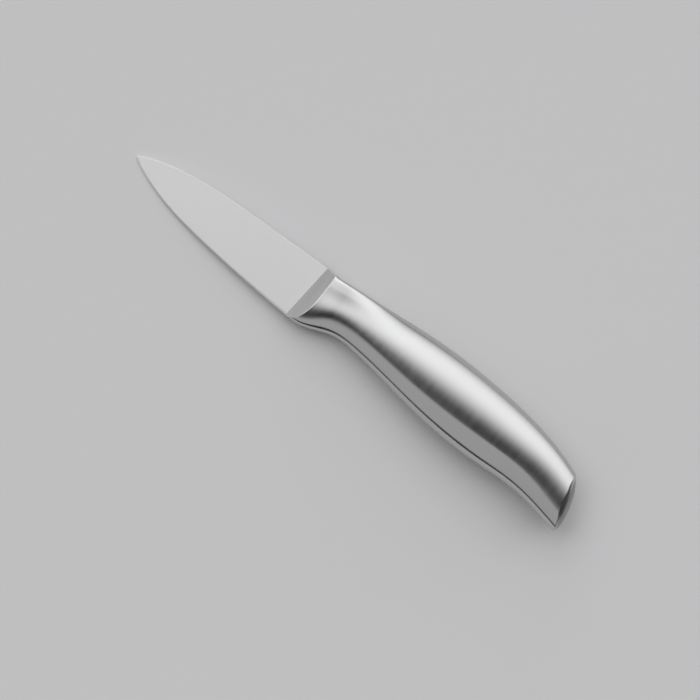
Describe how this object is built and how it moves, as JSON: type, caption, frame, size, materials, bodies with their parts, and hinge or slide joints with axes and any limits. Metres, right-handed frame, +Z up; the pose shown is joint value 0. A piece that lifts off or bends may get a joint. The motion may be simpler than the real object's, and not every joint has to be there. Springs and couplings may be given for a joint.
{
  "type": "paring knife",
  "caption": "Small pointed kitchen knife with a ground steel blade, a sloping steel neck and a hollow welded steel handle with a flared, slanting butt.",
  "frame": {"origin": "middle of the underside of the knife's bounding box, on the table it lies on", "axes": "the knife lies on its side as it rests: +X runs from the point to the butt, +Y is the spine side, and +Z is up"},
  "size_m": [0.2114, 0.0294, 0.0172],
  "materials": {
    "blade_steel": "fine satin across the blade",
    "handle_steel": "satin, brushed round the handle",
    "bare_steel": "as welded, out of sight"
  },
  "bodies": {
    "root": {"blade": "blade_steel", "bolster": "handle_steel", "handle_shell_upper": "handle_steel", "handle_shell_lower": "handle_steel", "butt_cap": "handle_steel", "balance_weight": "bare_steel", "weld_spine_seam": "handle_steel", "weld_belly_seam": "handle_steel", "weld_neck_ring": "handle_steel", "weld_butt_ring": "handle_steel", "weld_tang": "bare_steel", "weld_weight": "bare_steel"}
  },
  "joints": []
}
